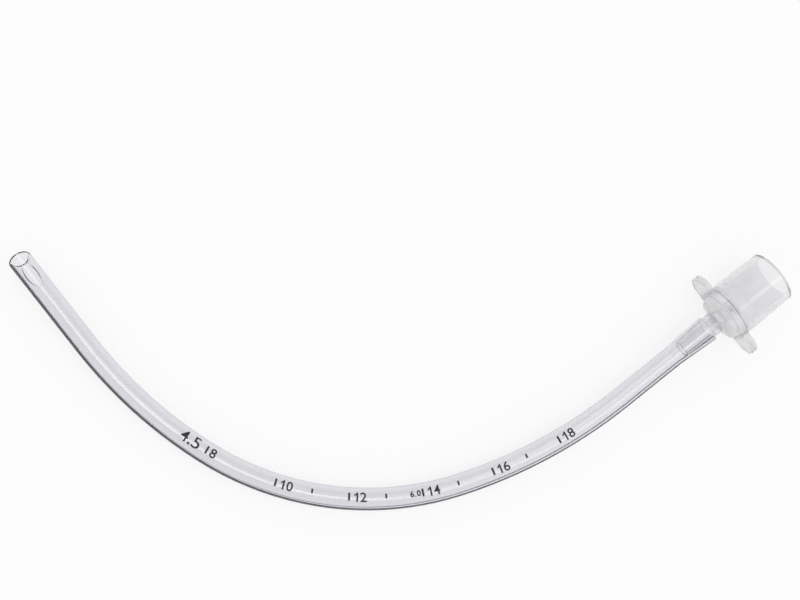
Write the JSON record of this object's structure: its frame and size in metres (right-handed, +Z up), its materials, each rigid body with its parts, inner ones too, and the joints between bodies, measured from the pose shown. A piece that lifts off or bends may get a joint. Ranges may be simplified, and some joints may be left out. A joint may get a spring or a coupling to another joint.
{
  "type": "endotracheal tube",
  "caption": "Curved clear uncuffed breathing tube with a bevelled tip, side eye, radiopaque line, depth scale and a tapered connector with two finger lugs.",
  "frame": {"origin": "centre of the footprint on the surface the tube lies on", "axes": "+X to the connector's side along the longest extent, +Y to the concave side of the curve, +Z up"},
  "size_m": [0.2104, 0.0678, 0.0163],
  "materials": {
    "clear_pvc": "clear plasticised PVC, extruded, glossy",
    "radiopaque_pvc": "blue-black barium-filled PVC line",
    "frosted_polypropylene": "natural polypropylene, moulded, translucent and lightly frosted"
  },
  "bodies": {
    "root": {"tube": "clear_pvc", "radiopaque_line": "radiopaque_pvc", "connector": "frosted_polypropylene"}
  },
  "joints": []
}
